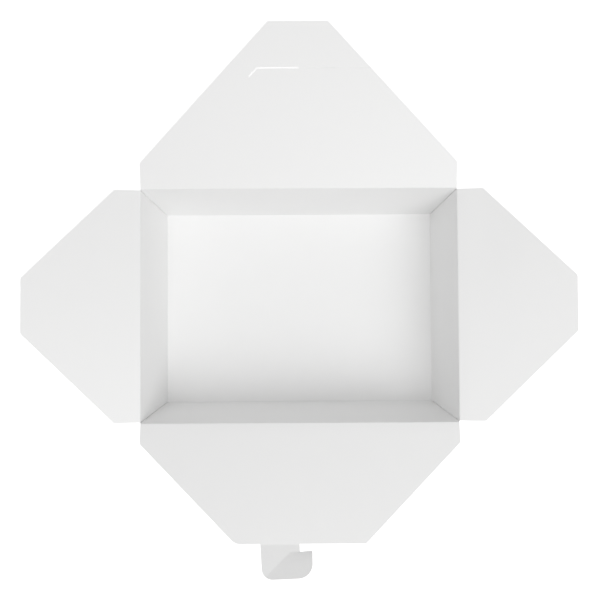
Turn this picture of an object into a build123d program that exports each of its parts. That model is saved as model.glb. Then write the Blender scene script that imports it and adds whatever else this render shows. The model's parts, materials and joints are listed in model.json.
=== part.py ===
from build123d import *
import os
from math import atan, cos, hypot, radians, sin, tan

# A folded takeout food box, standing open. One blank of coated paperboard is folded into a
# tapering tray with web corners, whose four lid flaps turn about the creases at its rim. The
# front flap ends in a hooked locking tab, which drops through the slot in the back flap.
# Origin: centre of the floor's underside. +X along the box, +Y towards the back flap, +Z up.

# ---- driving dimensions: board and tray ---------------------------------------------------
board = 0.45                # thickness of the paperboard
base_length = 197.0         # floor, outside, along X
base_width = 140.0          # floor, outside, along Y
rim_length = 216.0          # rim, outside, along X
rim_width = 159.0           # rim, outside, along Y
height = 64.0               # floor's underside to the creases of the back and front flaps
floor_bend = 0.4            # inside radius of the four creases round the floor
corner_bend = 0.4           # inside radius where a long wall turns into its web
side_crease_drop = 0.9      # side flaps hinge this much lower, so they close under the others
hinge_gap = 0.35            # wall top to the root of a flap
side_clearance = 0.3        # flap's side edge to the wall or flap beside it

web_foot = 3.0              # a web starts this far up the slant
web_drop = 2.8              # and ends this far below the rim, clear of the opened side flap
pocket_foot = 5.0           # the open pocket inside a web starts this far up the slant
pocket_gap = 0.15           # between the two plies of a web
slit_gap = 0.2              # between an end wall's folded edge and the long wall

# ---- driving dimensions: flaps ------------------------------------------------------------
flap_rise = 15.0            # flaps stand this many degrees above level
back_fall = 34.0            # and turn down to this many degrees below it
front_fall = 36.0
side_fall = 50.0
back_depth = 109.0          # crease to tip
back_shoulder = 17.6        # crease to where the slanting edges start
back_tip = 39.6             # length of the straight end
front_depth = 78.6
front_shoulder = 13.6
front_tip = 85.0
side_depth = 77.6
side_shoulder = 17.4
side_tip = 36.6
flap_corner = 1.6           # radius of the flaps' corners
tab_side_corner = 7.0       # larger radius at the front flap's end corner nearest the tab

# ---- driving dimensions: locking tab, its slot and the score beside it --------------------
tab_rise = 14.0             # tab's bend at rest, up from the front flap
tab_length = 22.4
neck_left = -26.2           # the neck's two sides, along X
neck_right = -0.6
neck_taper = 1.6            # the left side leans in by this much over the tab's length
neck_height = 4.5           # root of the tab to its hook
hook_right = 7.5            # end of the hook, along X
hook_bend = 12.0            # the hook is bent up along the slanting crease
hook_crease_x = -6.8        # where the slanting crease starts, along X
hook_crease_turn = 46.0     # angle between that crease and the tab's root
hook_crease_length = 18.0
hook_cut = 0.3              # width of the cut between the hook and the neck
tab_left_round = 7.0
tab_right_round = 9.0
hook_corner = 0.8

slot_clearance = 0.2        # each side of the tab's thickness
slot_end_play = 0.8         # past each side of the neck
slot_lead = 5.5             # slanting cut at the slot's left end
score_width = 0.5
score_depth = 0.08
score_start = 4.0           # from the slot's right end

# ---- worked out from them -----------------------------------------------------------------
up = Vector(0, 0, 1)
margin = 3.0                # how far the cutting shapes run past what they cut
spread_x = (rim_length - base_length) / 2
spread_y = (rim_width - base_width) / 2
lean_x = atan(spread_x / height)            # end walls, from the vertical
lean_y = atan(spread_y / height)            # long walls
end_slant = hypot(height, spread_x)         # slant height of an end wall
long_slant = hypot(height, spread_y)
wall_x = board / cos(lean_x)                # thickness of an end wall along X
wall_y = board / cos(lean_y)                # thickness of a long wall along Y

# Creases run along the middle of the walls.
side_height = height - side_crease_drop
back_crease_y = rim_width / 2 - wall_y / 2
side_crease_x = base_length / 2 + spread_x * side_height / height - wall_x / 2
clear_round = board / 2 + hinge_gap

# The roots of the flaps fit between the walls or flaps on each side of them.
closed_drop = 2 * side_crease_drop          # well below a closed side flap
back_root = 2 * (side_crease_x - board / 2 - side_clearance / 2)
side_root = 2 * (back_crease_y - wall_y / 2 - spread_y * closed_drop / height - side_clearance)

# A web is folded in half between two walls, so its crease halves the angle between them.
edge_lean = atan(spread_y / end_slant)
web_half_angle = (radians(90) - edge_lean - atan(spread_x / long_slant)) / 2
fold_lean = web_half_angle - edge_lean
web_thickness = 2 * board + pocket_gap

# With the box closed, the neck of the tab stands in the slot.
tab_root_gap = board / 2 + hinge_gap
slot_line = 2 * back_crease_y - front_depth - tab_root_gap      # from the back flap's crease
slot_width = board + 2 * slot_clearance
slot_left = neck_left - slot_end_play
slot_right = neck_right + slot_end_play
score_left = slot_right + score_start


def crease_plane(crease, outward, rise):
    """Plane on a crease: its Y runs out along the panel, its Z stands on the upper face."""
    tilt = radians(rise)
    return Plane(origin=crease, x_dir=outward.cross(up), z_dir=up * cos(tilt) - outward * sin(tilt))


def across(plane):
    """Plane square to a crease, with X outwards along the panel and Y up from it."""
    return Plane(origin=plane.origin, x_dir=plane.y_dir, z_dir=plane.x_dir)


def flap_outline(root, shoulder, depth, tip):
    """Flap's outline, with its root on the sketch's X axis."""
    Polygon((-root / 2, 0), (-root / 2, shoulder), (-tip / 2, depth), (tip / 2, depth),
            (root / 2, shoulder), (root / 2, 0), align=None)


def swing_clearance(fall):
    """Space round a crease that its flap needs, from closed to `fall` degrees below level."""
    reach = 2 * margin
    low = radians(fall)
    near = Vector(-clear_round * sin(low), -clear_round * cos(low))
    far = near + Vector(cos(low), -sin(low)) * reach
    Circle(clear_round)
    Polygon((-reach, near.Y), (near.X, near.Y), (far.X, far.Y), (far.X, reach),
            (-reach, reach), align=None)


def web_outline(foot, top, inset):
    """A web on an end wall: X runs along the wall, Y up its slant; it widens from foot to top."""
    Polygon((base_width / 2 - inset - foot * tan(fold_lean), foot),
            (base_width / 2 - inset - top * tan(fold_lean), top),
            (rim_width / 2 + margin, top), (base_width / 2 + margin, foot), align=None)


def slit_outline(foot, top):
    """The slit between an end wall's folded edge and the long wall's inner face."""
    low_corner = base_width / 2 - wall_y + foot * tan(edge_lean)
    high_corner = base_width / 2 - wall_y + top * tan(edge_lean)
    Polygon((low_corner - slit_gap, foot), (high_corner - slit_gap, top),
            (high_corner + margin, top), (low_corner + margin, foot), align=None)


def tab_outline():
    """The whole tab, laid flat: its X is minus the box's X, its Y runs from root to end."""
    Polygon((-neck_right, 0), (-neck_left, 0), (-neck_left - neck_taper, tab_length),
            (-hook_right, tab_length), (-hook_right, neck_height),
            (-neck_right, neck_height), align=None)


def hook_area(start, mode):
    """The area beyond the tab's slanting crease and the cut that leads to it."""
    far = 2 * tab_length
    Polygon((-hook_crease_x, start),
            (-hook_crease_x + far / tan(radians(hook_crease_turn)), start + far),
            (-far, start + far), (-far, start), align=None, mode=mode)


end_plane = Plane(origin=(base_length / 2, 0, 0), x_dir=(0, 1, 0),
                  z_dir=(cos(lean_x), 0, -sin(lean_x)))
back_plane = crease_plane(Vector(0, back_crease_y, height), Vector(0, 1, 0), flap_rise)
front_plane = crease_plane(Vector(0, -back_crease_y, height), Vector(0, -1, 0), flap_rise)
tab_crease = front_plane.origin + front_plane.y_dir * (front_depth + tab_root_gap)
tab_plane = crease_plane(tab_crease, Vector(0, -1, 0), flap_rise + tab_rise)

# ---- tray: floor, four walls and four web corners -----------------------------------------
with BuildPart() as outside:
    with BuildSketch():
        Rectangle(base_length, base_width)
    with BuildSketch(Plane.XY.offset(height)):
        Rectangle(rim_length, rim_width)
    loft()
    fillet(outside.faces().sort_by(Axis.Z)[0].edges(), floor_bend + board)

with BuildPart() as inside:
    with BuildSketch(Plane.XY.offset(board)):
        Rectangle(base_length + 2 * (spread_x * board / height - wall_x),
                  base_width + 2 * (spread_y * board / height - wall_y))
    with BuildSketch(Plane.XY.offset(height)):
        Rectangle(rim_length - 2 * wall_x, rim_width - 2 * wall_y)
    loft()
    fillet(inside.faces().sort_by(Axis.Z)[0].edges(), floor_bend)

# The outer and inner planes of the long walls, run on past the end walls to bound the webs.
with BuildPart() as within_outer_faces:
    with BuildSketch():
        Rectangle(base_length + 4 * margin, base_width)
    with BuildSketch(Plane.XY.offset(height)):
        Rectangle(rim_length + 4 * margin, rim_width)
    loft()

with BuildPart() as within_inner_faces:
    with BuildSketch():
        Rectangle(base_length + 4 * margin, base_width - 2 * wall_y)
    with BuildSketch(Plane.XY.offset(height)):
        Rectangle(rim_length + 4 * margin, rim_width - 2 * wall_y)
    loft()


def outer_web_edges(part):
    """The slanting edges round the outer face of each web of an end wall."""
    faces = part.faces().filter_by(lambda face: face.normal_at().dot(end_plane.z_dir) > 0.99)
    return faces.edges().filter_by(lambda edge: edge.length > end_slant / 2)


with BuildPart() as webs:
    with BuildSketch(end_plane):
        web_outline(web_foot, end_slant - web_drop, 0)
    extrude(amount=web_thickness)
    mirror(about=Plane.XZ)
    add(within_outer_faces.part, mode=Mode.INTERSECT)
    fillet(outer_web_edges(webs).filter_by(lambda edge: abs(edge.center().Y) > base_width / 2),
           corner_bend + board)
    fillet(outer_web_edges(webs).filter_by(lambda edge: abs(edge.center().Y) < base_width / 2),
           board)
    mirror(about=Plane.YZ)

with BuildPart() as pockets:
    with BuildSketch(end_plane.offset(board)):
        web_outline(pocket_foot, end_slant + margin, board)
    extrude(amount=pocket_gap)
    with BuildSketch(end_plane.offset(-2 * board)):
        slit_outline(pocket_foot, end_slant + margin)
    extrude(amount=3 * board + pocket_gap)
    mirror(about=Plane.XZ)
    add(within_inner_faces.part, mode=Mode.INTERSECT)
    mirror(about=Plane.YZ)

with BuildPart() as tray:
    add(outside.part)
    add(webs.part)
    add(inside.part, mode=Mode.SUBTRACT)
    add(pockets.part, mode=Mode.SUBTRACT)
    for outward, fall in ((Vector(0, 1, 0), back_fall), (Vector(0, -1, 0), front_fall)):
        with BuildSketch(across(crease_plane(outward * back_crease_y + up * height, outward, 0))):
            swing_clearance(fall)
        extrude(amount=rim_length / 2 + margin, both=True, mode=Mode.SUBTRACT)
    for outward in (Vector(1, 0, 0), Vector(-1, 0, 0)):
        with BuildSketch(across(crease_plane(outward * side_crease_x + up * side_height, outward, 0))):
            swing_clearance(side_fall)
        extrude(amount=side_root / 2 + side_clearance, both=True, mode=Mode.SUBTRACT)
tray.part.label = "tray"

# ---- back flap, with the slot for the tab and a score that runs on from it ----------------
with BuildPart() as back_flap:
    with BuildSketch(back_plane) as back_shape:
        flap_outline(back_root, back_shoulder, back_depth, back_tip)
        fillet(back_shape.vertices().filter_by(lambda corner: corner.Y > board), flap_corner)
    extrude(amount=board / 2, both=True)
    with BuildSketch(across(back_plane)):
        Circle(board / 2)
    extrude(amount=back_root / 2, both=True)
    with BuildSketch(back_plane):
        with BuildLine():
            straight = Line((slot_right, slot_line), (slot_left, slot_line))
            Line(straight @ 1, (slot_left - slot_lead, slot_line - slot_lead))
        trace(line_width=slot_width)
    extrude(amount=board, both=True, mode=Mode.SUBTRACT)
    with BuildSketch(back_plane.offset(board / 2 - score_depth)):
        with Locations(((score_left + back_root / 2) / 2, slot_line)):
            Rectangle(back_root / 2 - score_left, score_width)
    extrude(amount=score_depth, mode=Mode.SUBTRACT)
back_flap.part.label = "back_flap"

# ---- front flap ---------------------------------------------------------------------------
with BuildPart() as front_flap:
    with BuildSketch(front_plane) as front_shape:
        flap_outline(back_root, front_shoulder, front_depth, front_tip)
        rows = front_shape.vertices().group_by(Axis.Y)
        other_corner, corner_by_tab = rows[-1].sort_by(Axis.X)
        fillet([*rows[1], other_corner], flap_corner)
        fillet(corner_by_tab, tab_side_corner)
    extrude(amount=board / 2, both=True)
    with BuildSketch(across(front_plane)):
        Circle(board / 2)
    extrude(amount=back_root / 2, both=True)
front_flap.part.label = "front_flap"

# ---- locking tab: its neck, and the hook bent up along the slanting crease ----------------
crease_start = tab_plane.from_local_coords(Vector(-hook_crease_x, neck_height, 0))
crease_run = tab_plane.x_dir * cos(radians(hook_crease_turn)) \
    + tab_plane.y_dir * sin(radians(hook_crease_turn))

with BuildPart() as hook:
    with BuildSketch(tab_plane) as hook_shape:
        tab_outline()
        fillet(hook_shape.vertices().group_by(Axis.Y)[-1].sort_by(Axis.X)[-1], tab_left_round)
        fillet(hook_shape.vertices().sort_by_distance((-hook_right, tab_length))[0],
               tab_right_round)
        fillet(hook_shape.vertices().sort_by_distance((-hook_right, neck_height))[0],
               hook_corner)
        hook_area(neck_height, Mode.INTERSECT)
        hook_area(neck_height + hook_cut, Mode.INTERSECT)
    extrude(amount=board / 2, both=True)

with BuildPart() as locking_tab:
    with BuildSketch(tab_plane) as neck_shape:
        tab_outline()
        fillet(neck_shape.vertices().group_by(Axis.Y)[-1].sort_by(Axis.X)[-1], tab_left_round)
        hook_area(neck_height, Mode.SUBTRACT)
    extrude(amount=board / 2, both=True)
    with BuildSketch(across(tab_plane).offset(-neck_left)):
        Circle(board / 2)
    extrude(amount=neck_left - neck_right)
    with BuildSketch(Plane(origin=crease_start, z_dir=crease_run)):
        Circle(board / 2)
    extrude(amount=hook_crease_length)
    add(hook.part.rotate(Axis(crease_start, crease_run), hook_bend))
locking_tab.part.label = "locking_tab"

os.makedirs("parts", exist_ok=True)
export_step(tray.part, "parts/tray.step")
export_step(back_flap.part, "parts/back_flap.step")
export_step(front_flap.part, "parts/front_flap.step")
export_step(locking_tab.part, "parts/locking_tab.step")

# ---- side flaps ---------------------------------------------------------------------------
for name, outward in (("left_flap", Vector(-1, 0, 0)), ("right_flap", Vector(1, 0, 0))):
    side_plane = crease_plane(outward * side_crease_x + up * side_height, outward, flap_rise)
    with BuildPart() as side_flap:
        with BuildSketch(side_plane) as side_shape:
            flap_outline(side_root, side_shoulder, side_depth, side_tip)
            fillet(side_shape.vertices().filter_by(lambda corner: corner.Y > board), flap_corner)
        extrude(amount=board / 2, both=True)
        with BuildSketch(across(side_plane)):
            Circle(board / 2)
        extrude(amount=side_root / 2, both=True)
    side_flap.part.label = name
    export_step(side_flap.part, f"parts/{name}.step")
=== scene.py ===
"""Looks of an open folded takeout box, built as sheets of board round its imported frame."""

import json
import logging
import math
from collections.abc import Callable
from dataclasses import dataclass
from enum import Enum

import bmesh
import bpy
from mathutils import Matrix, Vector


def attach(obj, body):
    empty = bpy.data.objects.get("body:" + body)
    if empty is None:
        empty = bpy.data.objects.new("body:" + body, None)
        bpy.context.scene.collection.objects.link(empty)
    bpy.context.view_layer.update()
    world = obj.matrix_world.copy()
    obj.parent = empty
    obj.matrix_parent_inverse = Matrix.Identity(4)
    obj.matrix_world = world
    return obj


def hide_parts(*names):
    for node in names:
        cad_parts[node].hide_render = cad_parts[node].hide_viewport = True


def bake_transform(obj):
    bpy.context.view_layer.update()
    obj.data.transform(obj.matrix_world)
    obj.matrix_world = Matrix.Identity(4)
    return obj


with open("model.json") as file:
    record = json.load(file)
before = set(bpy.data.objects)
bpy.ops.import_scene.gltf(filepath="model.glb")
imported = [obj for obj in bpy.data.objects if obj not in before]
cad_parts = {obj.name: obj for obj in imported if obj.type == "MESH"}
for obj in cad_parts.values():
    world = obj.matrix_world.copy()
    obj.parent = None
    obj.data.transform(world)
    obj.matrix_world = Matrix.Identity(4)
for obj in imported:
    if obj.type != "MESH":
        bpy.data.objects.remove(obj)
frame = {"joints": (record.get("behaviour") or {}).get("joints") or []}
LOG = logging.getLogger("takeout_box")
MM = 0.001
UP = Vector((0.0, 0.0, 1.0))
ALONG_SHEET = (0.0, 1.0, 0.0)
ACROSS_SHEET = (1.0, 0.0, 0.0)
CUT_TOLERANCE = 1e-5
JUST_PAST = 1e-4
SHARP_ANGLE = math.radians(32.0)


class Side(Enum):
    """The four sides of the box, each with the way its flap points."""

    BACK = (0.0, 1.0, 0.0)
    FRONT = (0.0, -1.0, 0.0)
    LEFT = (-1.0, 0.0, 0.0)
    RIGHT = (1.0, 0.0, 0.0)

    @property
    def outward(self) -> Vector:
        """The level direction away from the box."""
        return Vector(self.value)

    @property
    def along(self) -> Vector:
        """The direction of the crease, with increasing X or Y."""
        return Vector((abs(self.value[1]), abs(self.value[0]), 0.0))

    def rising(self, angle: float) -> Vector:
        """Direction out from the box and up by an angle in radians."""
        return self.outward * math.cos(angle) + UP * math.sin(angle)

    def upper_normal(self, angle: float) -> Vector:
        """Normal of the upper face of a sheet that rises outwards by an angle."""
        return UP * math.cos(angle) - self.outward * math.sin(angle)


def crease_of(joint: str) -> Vector:
    """A joint's point in millimetres.

    Args:
        joint: The joint's name in the record.

    Returns:
        The point on the crease.
    """
    found = next(j for j in frame["joints"] if j["name"] == joint)
    return Vector(found["pos_m"]) / MM


@dataclass(frozen=True)
class Board:
    """The sheet that the box is folded from, in millimetres and radians.

    The walls lean out by `spread` over the height. A flap rises by `rise`, and its bend reaches
    `crease_reach` to each side of its crease.
    """

    thickness: float = 0.45
    crease_reach: float = 0.6
    rise: float = math.radians(15.0)
    height: float = 64.0
    spread: float = 9.5

    def wall(self, side: Side) -> Vector:
        """Direction up the wall on one side."""
        return (side.outward * self.spread + UP * self.height).normalized()


def bend(part: float, reach: float, before: Vector, after: Vector) -> Vector:
    """Point of a smooth bend from one flat panel to the next.

    Args:
        part: How far along the bend, from 0 to 1.
        reach: Length of the bend on each side of the crease.
        before: Direction of the first panel, towards the crease.
        after: Direction of the second panel, away from it.

    Returns:
        The point, from the crease.
    """
    return after * (reach * part ** 2) - before * (reach * (1 - part) ** 2)


def split(bm: bmesh.types.BMesh, point: Vector | tuple[float, float, float],
          normal: Vector | tuple[float, float, float],
          faces: list[bmesh.types.BMFace] | None = None) -> None:
    """Add edges where a plane meets a sheet.

    Args:
        bm: The sheet.
        point: A point on the plane.
        normal: The plane's normal.
        faces: The faces to split, or None for all of them.
    """
    if faces is None:
        parts = [*bm.verts, *bm.edges, *bm.faces]
    else:
        verts = dict.fromkeys(vert for face in faces for vert in face.verts)
        edges = dict.fromkeys(edge for face in faces for edge in face.edges)
        parts = [*verts, *edges, *faces]
    bmesh.ops.bisect_plane(bm, geom=parts, dist=CUT_TOLERANCE, plane_co=point, plane_no=normal)


def round_corners(bm: bmesh.types.BMesh, corners: list[tuple[bmesh.types.BMVert, float]],
                  segments: int) -> None:
    """Round corners of a flat outline.

    Args:
        bm: The sheet.
        corners: Each corner, with how far from it the rounding starts.
        segments: Number of edges in each rounding.
    """
    for corner, offset in corners:
        bmesh.ops.bevel(bm, geom=[corner], affect="VERTICES", segments=segments, profile=0.5,
                        offset=offset, material=-1)


def delete_where(bm: bmesh.types.BMesh, inside: Callable[[Vector], bool]) -> None:
    """Delete the faces whose middles lie in an area.

    Args:
        bm: The sheet.
        inside: Function of a point that is true in the area.
    """
    gone = [face for face in bm.faces if inside(face.calc_center_median())]
    bmesh.ops.delete(bm, geom=gone, context="FACES")


@dataclass(frozen=True)
class CoatedBoard:
    """A finish of the board: by default its faces, white and smooth with a faint fibre."""

    name: str = "coated_board"
    color: tuple[float, float, float] = (0.93, 0.93, 0.927)
    roughness: float = 0.46
    coat: float = 0.12
    fibre_scale: float = 900.0
    fibre_depth: float = 0.012
    mottle: float = 0.012
    coat_roughness: float = 0.35
    ior: float = 1.48
    bump: float = 0.25

    def material(self, group: bpy.types.NodeTree) -> bpy.types.Material:
        """Build the material.

        Args:
            group: The shared paper grain node group.

        Returns:
            The finished material.
        """
        mat = bpy.data.materials.new(self.name)
        mat.use_nodes = True
        nodes, links = mat.node_tree.nodes, mat.node_tree.links
        shader = nodes["Principled BSDF"]
        shader.inputs["Coat Weight"].default_value = self.coat
        shader.inputs["Coat Roughness"].default_value = self.coat_roughness
        shader.inputs["IOR"].default_value = self.ior
        place = nodes.new("ShaderNodeTexCoord")
        grain = nodes.new("ShaderNodeGroup")
        grain.node_tree = group
        grain.inputs["Scale"].default_value = self.fibre_scale
        grain.inputs["Mottle"].default_value = self.mottle
        grain.inputs["Color"].default_value = (*self.color, 1.0)
        grain.inputs["Roughness"].default_value = self.roughness
        bump = nodes.new("ShaderNodeBump")
        bump.inputs["Strength"].default_value = self.bump
        bump.inputs["Distance"].default_value = self.fibre_depth * MM
        links.new(place.outputs["Object"], grain.inputs["Vector"])
        links.new(grain.outputs["Color"], shader.inputs["Base Color"])
        links.new(grain.outputs["Roughness"], shader.inputs["Roughness"])
        links.new(grain.outputs["Height"], bump.inputs["Height"])
        links.new(bump.outputs["Normal"], shader.inputs["Normal"])
        return mat


def paper_grain() -> bpy.types.NodeTree:
    """Build the node group that gives board its mottle, sheen changes and fibre.

    Returns:
        The node group.
    """
    cloud_scale, sheen_change = 55.0, 0.12
    tree = bpy.data.node_groups.new("paper_grain", "ShaderNodeTree")
    sockets = {"INPUT": (("Vector", "Vector"), ("Color", "Color"), ("Scale", "Float"),
                         ("Mottle", "Float"), ("Roughness", "Float")),
               "OUTPUT": (("Color", "Color"), ("Roughness", "Float"), ("Height", "Float"))}
    for way, listed in sockets.items():
        for name, kind in listed:
            tree.interface.new_socket(name, in_out=way, socket_type=f"NodeSocket{kind}")
    nodes, links = tree.nodes, tree.links
    given, out = nodes.new("NodeGroupInput"), nodes.new("NodeGroupOutput")

    def noise(detail: float) -> bpy.types.Node:
        """Add a noise texture over the object's own coordinates."""
        node = nodes.new("ShaderNodeTexNoise")
        node.inputs["Detail"].default_value = detail
        links.new(given.outputs["Vector"], node.inputs["Vector"])
        return node

    def work(operation: str, *values: bpy.types.NodeSocket | float) -> bpy.types.NodeSocket:
        """Add a sum over sockets and numbers, and give its result."""
        node = nodes.new("ShaderNodeMath")
        node.operation = operation
        for socket, value in zip(node.inputs, values):
            if isinstance(value, float):
                socket.default_value = value
            else:
                links.new(value, socket)
        return node.outputs[0]

    fibre, cloud = noise(4.0), noise(3.0)
    fibre.inputs["Roughness"].default_value = 0.65
    cloud.inputs["Scale"].default_value = cloud_scale
    links.new(given.outputs["Scale"], fibre.inputs["Scale"])
    links.new(fibre.outputs["Fac"], out.inputs["Height"])
    centred = work("SUBTRACT", cloud.outputs["Fac"], 0.5)
    tint = work("ADD", work("MULTIPLY", centred, given.outputs["Mottle"]), 1.0)
    scaled = nodes.new("ShaderNodeVectorMath")
    scaled.operation = "SCALE"
    links.new(given.outputs["Color"], scaled.inputs[0])
    links.new(tint, scaled.inputs["Scale"])
    links.new(scaled.outputs[0], out.inputs["Color"])
    dull = work("MULTIPLY_ADD", centred, sheen_change, given.outputs["Roughness"])
    links.new(dull, out.inputs["Roughness"])
    return tree


@dataclass(frozen=True)
class Finishes:
    """The materials of a piece of board: its faces and its cut edges."""

    face: bpy.types.Material
    edge: bpy.types.Material


def thicken(bm: bmesh.types.BMesh, name: str, board: Board, finishes: Finishes,
            even: bool = True) -> bpy.types.Object:
    """Give a middle surface the board's thickness and make it a finished piece.

    Args:
        bm: The middle surface, in millimetres. It is freed.
        name: The piece's name.
        board: The sheet it is folded from.
        finishes: Its materials.
        even: True to keep the thickness where the sheet bends.

    Returns:
        The object, at the origin, with its place in its mesh.
    """
    bmesh.ops.recalc_face_normals(bm, faces=bm.faces)
    bm.transform(Matrix.Scale(MM, 4))
    sheet = bpy.data.meshes.new(name)
    bm.to_mesh(sheet)
    bm.free()
    for material in (finishes.face, finishes.edge):
        sheet.materials.append(material)
    piece = bpy.data.objects.new(name, sheet)
    bpy.context.scene.collection.objects.link(piece)
    solid = piece.modifiers.new("thickness", "SOLIDIFY")
    solid.thickness = board.thickness * MM
    solid.offset = 0.0
    solid.use_even_offset = even
    solid.material_offset_rim = 1
    bpy.context.view_layer.update()
    done = bpy.data.meshes.new_from_object(piece.evaluated_get(bpy.context.evaluated_depsgraph_get()))
    piece.modifiers.clear()
    piece.data = done
    done.name = name
    done.shade_smooth()
    done.set_sharp_from_angle(angle=SHARP_ANGLE)
    LOG.info("%s: %d faces", name, len(done.polygons))
    return piece


@dataclass(frozen=True)
class Flap:
    """One lid flap with the strip that bends over its crease, in millimetres.

    The outline is `root` wide up to the shoulder, then narrows to the tip. The sheet is divided
    into about `row` by `column`, so that it can bow.
    """

    name: str
    side: Side
    joint: str
    root: float
    shoulder: float
    depth: float
    tip: float
    corner: float = 1.6
    tab_corner: float = 1.6
    bow: float = 0.35
    row: float = 7.0
    column: float = 9.0
    first_row: float = 1.5
    board: Board = Board()

    def outline(self, bm: bmesh.types.BMesh) -> None:
        """Make the flat outline, with rounded corners, in a new bmesh."""
        half, end = self.root / 2, self.tip / 2
        spots = [(-half, -self.board.crease_reach), (half, -self.board.crease_reach),
                 (half, self.shoulder), (end, self.depth), (-end, self.depth),
                 (-half, self.shoulder)]
        verts = [bm.verts.new((x, y, 0.0)) for x, y in spots]
        bm.faces.new(verts)
        turn = math.atan2(self.depth - self.shoulder, half - end)
        at_shoulder = self.corner * math.tan((math.pi / 2 - turn) / 2)
        at_tip, by_tab = (radius * math.tan(turn / 2) for radius in (self.corner, self.tab_corner))
        round_corners(bm, list(zip(verts[2:], (at_shoulder, at_tip, by_tab, at_shoulder))), 5)

    def cut(self, bm: bmesh.types.BMesh, place: float, across: bool) -> None:
        """Cut the flat sheet along a line.

        Args:
            bm: The sheet.
            place: Where the line crosses the other axis.
            across: True for a line along the crease.
        """
        normal = ALONG_SHEET if across else ACROSS_SHEET
        split(bm, Vector(normal) * place, normal)

    def divide(self, bm: bmesh.types.BMesh) -> None:
        """Cut the sheet into a grid that can bend, finer at the crease."""
        reach = self.board.crease_reach
        for step in range(7):
            self.cut(bm, reach * (step / 3 - 1) + JUST_PAST, True)
        rows, columns = round(self.depth / self.row), round(self.root / self.column)
        for row in range(1, rows):
            self.cut(bm, self.first_row + (self.depth - self.first_row) * row / rows, True)
        for column in range(1, columns):
            self.cut(bm, self.root * (column / columns - 0.5), False)

    def features(self, bm: bmesh.types.BMesh) -> None:
        """Add cuts and scores. A plain flap has none."""

    def lift(self, x: float, y: float) -> float:
        """Height of the sheet over its plane, from the way the board has bowed.

        Args:
            x: Distance along the crease from its middle.
            y: Distance out from the crease.

        Returns:
            The height towards the upper face.
        """
        if y <= 0:
            return 0.0
        rise = math.sin(min(1.0, y / self.depth) * math.pi / 2)
        return -self.bow * rise * (2 * x / self.root) ** 2

    def fold(self, bm: bmesh.types.BMesh) -> None:
        """Turn the flat sheet into its place, bent over the crease onto the wall."""
        crease, along = crease_of(self.joint), self.side.along
        rise, reach = self.board.rise, self.board.crease_reach
        crease = crease - along * crease.dot(along)
        flap, normal = self.side.rising(rise), self.side.upper_normal(rise)
        wall = self.board.wall(self.side)
        for vert in bm.verts:
            x, y, lift = vert.co.x, vert.co.y, self.lift(vert.co.x, vert.co.y)
            path = flap * y if y >= reach else bend((y + reach) / (2 * reach), reach, wall, flap)
            vert.co = crease + along * x + path + normal * lift

    def build(self, finishes: Finishes) -> bpy.types.Object:
        """Make the flap, bent over its crease onto the wall.

        Args:
            finishes: Its materials.

        Returns:
            The finished piece.
        """
        bm = bmesh.new()
        self.outline(bm)
        self.divide(bm)
        self.features(bm)
        self.fold(bm)
        piece = thicken(bm, f"{self.name}_board", self.board, finishes)
        wall, flap = self.board.wall(self.side), self.side.rising(self.board.rise)
        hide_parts(self.name)
        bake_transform(piece)
        return piece


@dataclass(frozen=True)
class SlottedFlap(Flap):
    """The back flap, with the slot for the tab and the score beside it.

    The slot runs along the crease, and at its left end it turns back by `lead` at 45 degrees.
    """

    slot_line: float = 79.37
    slot_left: float = -27.0
    slot_right: float = 0.2
    slot_width: float = 0.85
    lead: float = 5.5
    score_gap: float = 4.0
    score_half: float = 0.45
    score_sink: float = 0.14

    def features(self, bm: bmesh.types.BMesh) -> None:
        """Cut the slot with its slanting lead, and divide the sheet along the score."""
        half = self.slot_width / 2
        for place in (self.slot_line - half, self.slot_line + half, self.slot_line - self.score_half,
                      self.slot_line, self.slot_line + self.score_half):
            self.cut(bm, place, True)
        for place in (self.slot_left, self.slot_right, self.slot_right + self.score_gap):
            self.cut(bm, place, False)
        delete_where(bm, lambda p: abs(p.y - self.slot_line) < half
                     and self.slot_left < p.x < self.slot_right)
        slope = Vector((1.0, -1.0, 0.0)).normalized()
        start = Vector((self.slot_left, self.slot_line, 0.0))
        low = self.slot_left - self.lead
        for offset in (-half, half):
            near = [f for f in bm.faces if low - 1.0 < f.calc_center_median().x < self.slot_left + 0.5
                    and -self.lead - 3.0 < f.calc_center_median().y - self.slot_line < half]
            split(bm, start + slope * offset, slope, near)
        self.cut(bm, low, False)
        delete_where(bm, lambda p: abs((p - start).dot(slope)) < half and low < p.x < self.slot_left
                     and p.y < self.slot_line + half)

    def lift(self, x: float, y: float) -> float:
        """As a plain flap, sunk along the score."""
        height = super().lift(x, y)
        near = 10 * JUST_PAST
        if abs(y - self.slot_line) < near and x > self.slot_right + self.score_gap - near:
            height -= self.score_sink
        return height


@dataclass(frozen=True)
class CreasedFlap(Flap):
    """The right flap, with a soft slanting crease across it."""

    start: tuple[float, float] = (41.7, 53.5)
    end: tuple[float, float] = (1.9, 15.2)
    turn: float = math.radians(1.1)
    flat: float = 6.08
    fade: float = 10.0
    width: float = 30.0

    @property
    def line(self) -> Vector:
        """Direction of the slanting crease, laid flat."""
        return Vector((self.start[0] - self.end[0], self.start[1] - self.end[1], 0.0)).normalized()

    def features(self, bm: bmesh.types.BMesh) -> None:
        """Divide the sheet along the slanting crease."""
        split(bm, (*self.end, 0.0), (-self.line.y, self.line.x, 0.0))

    def lift(self, x: float, y: float) -> float:
        """As a plain flap, bent down past the slanting crease, away from the flap's own."""
        line = self.line
        past = max(0.0, (x - self.end[0]) * line.y - (y - self.end[1]) * line.x)
        share = min(1.0, max(0.0, (y - self.flat) / self.fade))
        return super().lift(x, y) - math.tan(self.turn) * min(past, self.width) * share


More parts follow.
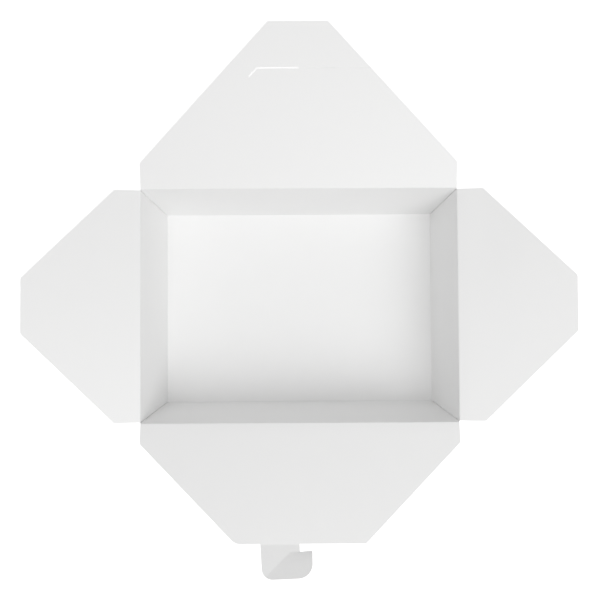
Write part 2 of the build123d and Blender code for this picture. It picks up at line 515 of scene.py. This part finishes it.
@dataclass(frozen=True)
class Tab:
    """The locking tab: a neck, and a hook bent up along a slanting crease."""

    name: str = "locking_tab"
    rise: float = math.radians(29.0)
    length: float = 22.4
    left: float = -26.2
    right: float = -0.6
    taper: float = 1.6
    neck: float = 4.5
    hook: float = 7.5
    left_round: float = 7.0
    right_round: float = 9.0
    notch_round: float = 0.6
    hook_corner: float = 0.8
    crease_x: float = -6.8
    crease_turn: float = math.radians(46.0)
    hook_bend: float = math.radians(12.0)
    root_gap: float = 0.575
    board: Board = Board()

    def outline(self, bm: bmesh.types.BMesh) -> None:
        """Make the flat outline, with rounded corners, in a new bmesh."""
        spots = [(self.left, -self.root_gap), (self.right, -self.root_gap), (self.right, self.neck),
                 (self.hook, self.neck), (self.hook, self.length),
                 (self.left + self.taper, self.length), (self.left, 0.0)]
        verts = [bm.verts.new((x, y, 0.0)) for x, y in spots]
        bm.faces.new(verts)
        offsets = (self.notch_round, self.hook_corner, self.right_round, self.left_round)
        round_corners(bm, list(zip(verts[2:], offsets)), 8)

    def divide(self, bm: bmesh.types.BMesh, corner: Vector, across: Vector) -> None:
        """Divide the sheet where it bends.

        Args:
            bm: The flat sheet.
            corner: Where the hook's crease starts.
            across: Direction square to that crease, towards the hook.
        """
        for row in range(1, 7):
            split(bm, (0.0, self.root_gap * (row / 3 - 1) + JUST_PAST, 0.0), ALONG_SHEET)
        for row in range(1, 6):
            split(bm, (0.0, self.neck * row, 0.0), ALONG_SHEET)
        for offset in (-0.5, 0.0, 0.5):
            beyond = [f for f in bm.faces if f.calc_center_median().y > self.neck - 0.01]
            split(bm, corner + across * offset, across, beyond)

    def build(self, finishes: Finishes) -> bpy.types.Object:
        """Make the tab, bent up at the front flap's end.

        Args:
            finishes: Its materials.

        Returns:
            The finished piece.
        """
        bm = bmesh.new()
        self.outline(bm)
        run = Vector((-math.cos(self.crease_turn), math.sin(self.crease_turn), 0.0))
        across = Vector((run.y, -run.x, 0.0))
        corner = Vector((self.crease_x, self.neck, 0.0))
        self.divide(bm, corner, across)
        crease, side, reach = crease_of("tab_crease"), Side.FRONT, self.root_gap
        flap, tab = side.rising(self.board.rise), side.rising(self.rise)
        middle = Vector((0.0, crease.y, crease.z))
        for vert in bm.verts:
            x, y = vert.co.x, vert.co.y
            past = (Vector((x, y, 0.0)) - corner).dot(across) if y > self.neck + 1e-3 else 0.0
            lift = math.tan(self.hook_bend) * max(0.0, past)
            path = tab * y if y >= reach else bend((y + reach) / (2 * reach), reach, flap, tab)
            vert.co = middle + Side.FRONT.along * x + path + side.upper_normal(self.rise) * lift
        piece = thicken(bm, "locking_tab_board", self.board, finishes)
        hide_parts(self.name)
        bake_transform(piece)
        return piece


@dataclass(frozen=True)
class Tray:
    """Floor, walls and web corners, as one folded sheet. Sizes are in millimetres.

    Each corner runs from the end wall round a hairpin into the web's inner ply, round its fold
    into the outer ply, and round the corner into the long wall.
    """

    base_length: float = 197.0
    base_width: float = 140.0
    side_drop: float = 0.9
    slit: float = 0.35
    web_foot: float = 4.0
    web_drop: float = 2.8
    web_run: float = 0.685
    ply_gap: float = 0.15
    hidden_gap: float = 0.08
    shortest_ply: float = 0.3
    bend: float = 0.65
    bow: float = 0.7
    end_bow: float = 0.56
    edge_band: float = 3.0
    merge: float = 0.004
    board: Board = Board()

    def quarter(self, z: float, drop: bool) -> list[Vector]:
        """Points of the middle surface from the right wall's middle to the back wall's.

        Args:
            z: Height over the floor's underside.
            drop: True at the rim, where the webs end lower and the walls at their creases.

        Returns:
            The points, in order.
        """
        half = self.board.thickness / 2
        side_z = z - self.side_drop if drop else z
        web_z = z - self.web_drop if drop else z
        x, y = self.plan(side_z)
        apex = half + self.bend
        size = max(0.0, min(1.0, (web_z - apex) / (self.web_foot - apex)))
        first = (self.board.thickness + self.hidden_gap) * size
        second = first + (self.board.thickness + self.ply_gap) * size
        shut = (half + self.slit) * size
        points = [Vector((x, (y - shut - first / 2) * step / 9, side_z)) for step in range(9)]
        points.append(Vector((x, y - shut - first / 2 - self.shortest_ply * size, side_z)))
        x, y = self.plan(web_z)
        turn, radius = y - shut - first / 2, first / 2
        for step in range(5):
            angle = math.pi * (step / 4 - 0.5)
            points.append(Vector((x + radius + radius * math.sin(angle),
                                  turn + radius * math.cos(angle), web_z)))
        fold = turn - size * max(self.shortest_ply, self.web_run * (web_z - apex) - shut)
        radius = (second - first) / 2
        points.append(Vector((x + first, (turn + fold) / 2, web_z)))
        for step in range(5):
            angle = math.pi * step / 4
            points.append(Vector((x + first + radius - radius * math.cos(angle),
                                  fold - radius * math.sin(angle), web_z)))
        points.append(Vector((x + second, (turn + fold) / 2, web_z)))
        radius = self.bend * size
        for step in range(5):
            angle = math.pi / 2 * step / 4
            points.append(Vector((x + second - radius + radius * math.cos(angle),
                                  y - radius + radius * math.sin(angle), web_z)))
        y = self.plan(z)[1]
        corner = x + second - radius
        points.append(Vector((corner - 0.5 * size, y, z)))
        points += [Vector((corner * (1 - step / 12), y, z)) for step in range(1, 13)]
        return points

    def plan(self, z: float) -> tuple[float, float]:
        """Half length and half width of the walls' middle surface at a height."""
        grow = self.board.spread * z / self.board.height - self.board.thickness / 2
        return self.base_length / 2 + grow, self.base_width / 2 + grow

    def ring(self, z: float, drop: bool = False, inset: float = 0.0) -> list[Vector]:
        """Points of one closed ring round the tray.

        Args:
            z: The ring's height.
            drop: True at the rim.
            inset: How far the ring lies inside the walls, for the bend of the floor.

        Returns:
            The points, in order.
        """
        quarter = self.quarter(z, drop)
        back = [Vector((-p.x, p.y, p.z)) for p in reversed(quarter)][1:]
        half = quarter + back
        ring = half[:-1] + [Vector((-p.x, -p.y, p.z)) for p in half][:-1]
        length, width = self.plan(z)
        for point in ring:
            point.x *= 1 - inset / length
            point.y *= 1 - inset / width
        return ring

    def bowed(self, point: Vector) -> Vector:
        """Where a point of the sheet lies once the board has bowed.

        Args:
            point: The point on the flat walls or floor.

        Returns:
            The moved point.
        """
        up_wall = min(1.0, max(0.0, point.z / self.board.height))
        belly = math.sin(math.pi * up_wall)
        long_way = max(0.0, 1 - (2 * point.x / self.base_length) ** 2)
        wide_way = max(0.0, 1 - (2 * point.y / self.base_width) ** 2)
        moved = point.copy()
        if abs(point.y) > self.base_width / 2 - self.edge_band:
            moved.y -= math.copysign(self.bow * belly * long_way, point.y)
        if abs(point.x) > self.base_length / 2 - self.edge_band:
            moved.x -= math.copysign(self.end_bow * belly * wide_way, point.x)
        return moved

    def levels(self) -> list[list[Vector]]:
        """Rings of the sheet from the rim down the walls and round the bend to the floor."""
        half = self.board.thickness / 2
        top = self.board.height - self.board.crease_reach * 0.99
        low, high, in_web = 10.0, top - 4.0, 2.2
        round_off = self.bend * 0.3
        rings = [self.ring(top, drop=True)]
        rings += [self.ring(low + (high - low) * step / 5) for step in range(5, -1, -1)]
        rings += [self.ring(z) for z in (self.web_foot, in_web, half + self.bend)]
        rings.append(self.ring(half + round_off, inset=round_off))
        rings.append(self.ring(half, inset=self.bend))
        return rings

    def sheet(self, bm: bmesh.types.BMesh) -> None:
        """Make the folded sheet, from the rim downwards, in a new bmesh."""
        rings = self.levels()
        verts = [bm.verts.new(point) for point in rings[0]]
        edges = [bm.edges.new((verts[i - 1], verts[i])) for i in range(len(verts))]
        for ring in rings[1:]:
            made = bmesh.ops.extrude_edge_only(bm, edges=edges)["geom"]
            edges = [item for item in made if isinstance(item, bmesh.types.BMEdge)]
            order = {vert: index for index, vert in enumerate(verts)}
            for vert in (item for item in made if isinstance(item, bmesh.types.BMVert)):
                above = next(e.other_vert(vert) for e in vert.link_edges if e.other_vert(vert) in order)
                verts[order[above]] = vert
            for vert, point in zip(verts, ring):
                vert.co = point
        bmesh.ops.contextual_create(bm, geom=edges)
        bmesh.ops.remove_doubles(bm, verts=bm.verts, dist=self.merge)
        for vert in bm.verts:
            vert.co = self.bowed(vert.co)

    def build(self, finishes: Finishes) -> bpy.types.Object:
        """Make the tray.

        Args:
            finishes: Its materials.

        Returns:
            The finished piece.
        """
        bm = bmesh.new()
        self.sheet(bm)
        piece = thicken(bm, "tray_board", self.board, finishes, even=False)
        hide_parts("tray")
        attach(piece, "tray")
        return piece


@dataclass(frozen=True)
class Lamp:
    """A soft square lamp that faces the middle of the box, in metres and watts."""

    name: str
    place: tuple[float, float, float]
    size: float
    power: float

    def build(self) -> None:
        """Hang the lamp."""
        data = bpy.data.lights.new(self.name, "AREA")
        data.size = self.size
        data.energy = self.power
        lamp = bpy.data.objects.new(self.name, data)
        lamp.location = self.place
        lamp.rotation_euler = (-Vector(self.place)).to_track_quat("-Z", "Y").to_euler()
        bpy.context.scene.collection.objects.link(lamp)


@dataclass(frozen=True)
class Studio:
    """Camera, lamps, world and floor. Places are in metres, over the box's underside."""

    camera_place: tuple[float, float, float] = (-0.00044, -0.01966, 0.67505)
    camera_turn: tuple[float, float, float] = (2.1628, -0.0735, -0.3369)
    lens: float = 54.3
    sensor: float = 36.0
    world: float = 0.5
    floor_half: float = 3.0
    floor_drop: float = 0.0002
    floor_shade: float = 0.85
    floor_glow: float = 0.62
    lamps: tuple[Lamp, ...] = (Lamp("key", (0.5, -0.6, 1.2), 0.9, 7.5),
                               Lamp("fill", (-0.25, -0.3, 1.5), 0.8, 2.4))

    def camera(self) -> None:
        """Look straight down into the box."""
        data = bpy.data.cameras.new("camera")
        data.lens = self.lens
        data.sensor_width = self.sensor
        camera = bpy.data.objects.new("camera", data)
        camera.location = self.camera_place
        camera.rotation_euler = [math.radians(angle) for angle in self.camera_turn]
        bpy.context.scene.collection.objects.link(camera)
        bpy.context.scene.camera = camera

    def floor(self) -> None:
        """Lay a pale floor that looks white and keeps a soft shadow."""
        bm = bmesh.new()
        bmesh.ops.create_grid(bm, x_segments=1, y_segments=1, size=self.floor_half)
        mesh = bpy.data.meshes.new("floor")
        bm.to_mesh(mesh)
        bm.free()
        floor = bpy.data.objects.new("floor", mesh)
        floor.location.z = -self.floor_drop
        bpy.context.scene.collection.objects.link(floor)
        mat = bpy.data.materials.new("floor")
        mat.use_nodes = True
        nodes, links = mat.node_tree.nodes, mat.node_tree.links
        shader = nodes["Principled BSDF"]
        shader.inputs["Base Color"].default_value = (*[self.floor_shade] * 3, 1.0)
        shader.inputs["Roughness"].default_value = 0.9
        shader.inputs["Emission Color"].default_value = (1.0, 1.0, 1.0, 1.0)
        path, gain = nodes.new("ShaderNodeLightPath"), nodes.new("ShaderNodeMath")
        gain.operation = "MULTIPLY"
        gain.inputs[1].default_value = self.floor_glow
        links.new(path.outputs["Is Camera Ray"], gain.inputs[0])
        links.new(gain.outputs[0], shader.inputs["Emission Strength"])
        mesh.materials.append(mat)

    def sky(self) -> None:
        """Light everything evenly, and look white to the camera."""
        world = bpy.data.worlds.new("studio")
        world.use_nodes = True
        nodes, links = world.node_tree.nodes, world.node_tree.links
        back = nodes["Background"]
        back.inputs["Color"].default_value = (1.0, 1.0, 1.0, 1.0)
        path, mix = nodes.new("ShaderNodeLightPath"), nodes.new("ShaderNodeMix")
        mix.inputs["A"].default_value = self.world
        mix.inputs["B"].default_value = 1.0
        links.new(path.outputs["Is Camera Ray"], mix.inputs["Factor"])
        links.new(mix.outputs["Result"], back.inputs["Strength"])
        bpy.context.scene.world = world

    def build(self) -> None:
        """Set up the camera, the lamps and the white surround."""
        bpy.context.scene.view_settings.view_transform = "Standard"
        self.camera()
        self.sky()
        self.floor()
        for lamp in self.lamps:
            lamp.build()


def main() -> None:
    """Build the box and its studio."""
    logging.basicConfig(level=logging.INFO)
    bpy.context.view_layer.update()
    grain = paper_grain()
    edge = CoatedBoard("cut_edge", (0.78, 0.775, 0.76), 0.8, 0.0, 2500.0, 0.04, 0.06)
    finishes = Finishes(CoatedBoard().material(grain), edge.material(grain))
    root, side_root = 214.5, 156.96
    front = Flap("front_flap", Side.FRONT, "front_crease", root, 13.6, 78.6, 85.0, tab_corner=7.0)
    parts = (Tray(),
             SlottedFlap("back_flap", Side.BACK, "back_crease", root, 17.6, 109.0, 39.6),
             front,
             Flap("left_flap", Side.LEFT, "left_crease", side_root, 17.4, 77.6, 36.6),
             CreasedFlap("right_flap", Side.RIGHT, "right_crease", side_root, 17.4, 77.6, 36.6),
             Tab())
    pieces = [part.build(finishes) for part in parts]
    Studio().build()
    LOG.info("built %d pieces of board", len(pieces))


if __name__ == "__main__":
    main()
